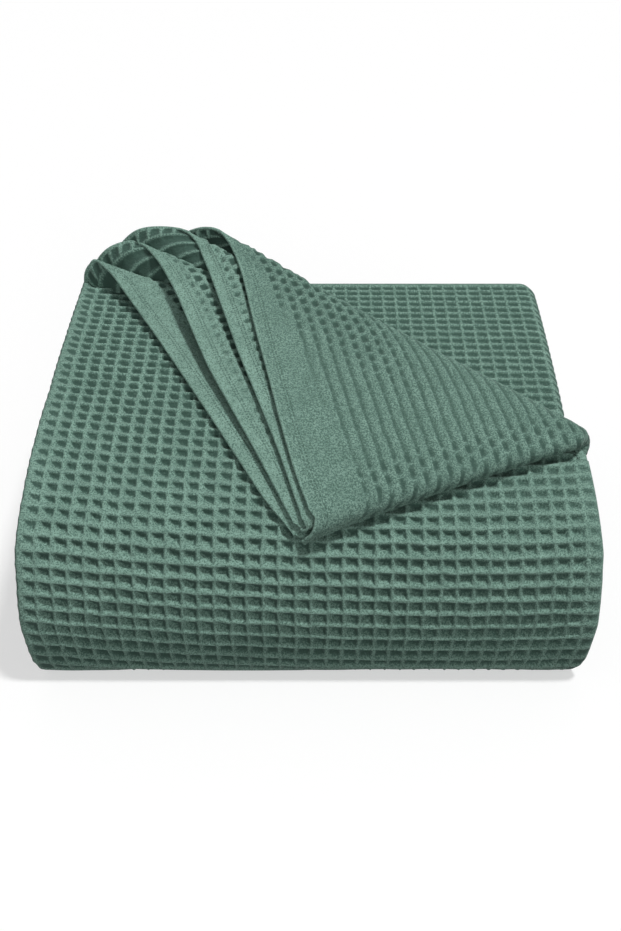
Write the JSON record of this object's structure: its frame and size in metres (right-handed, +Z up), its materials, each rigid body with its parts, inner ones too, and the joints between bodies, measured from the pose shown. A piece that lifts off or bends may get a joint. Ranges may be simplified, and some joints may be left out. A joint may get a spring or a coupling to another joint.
{
  "type": "folded waffle blanket",
  "caption": "Waffle weave cotton blanket folded into a soft stack, its top corner turned over so that the hems fan out.",
  "frame": {"origin": "middle of the underside, on the surface that the folded blanket lies on", "axes": "+Z up, -Y towards the front roll, +X towards the end where the turned-over corner's fold meets the side"},
  "size_m": [0.4198, 0.3498, 0.2428],
  "materials": {
    "sage_cotton": "matt sage green waffle weave cotton"
  },
  "bodies": {
    "root": {"blanket_cloth": "sage_cotton"}
  },
  "joints": []
}
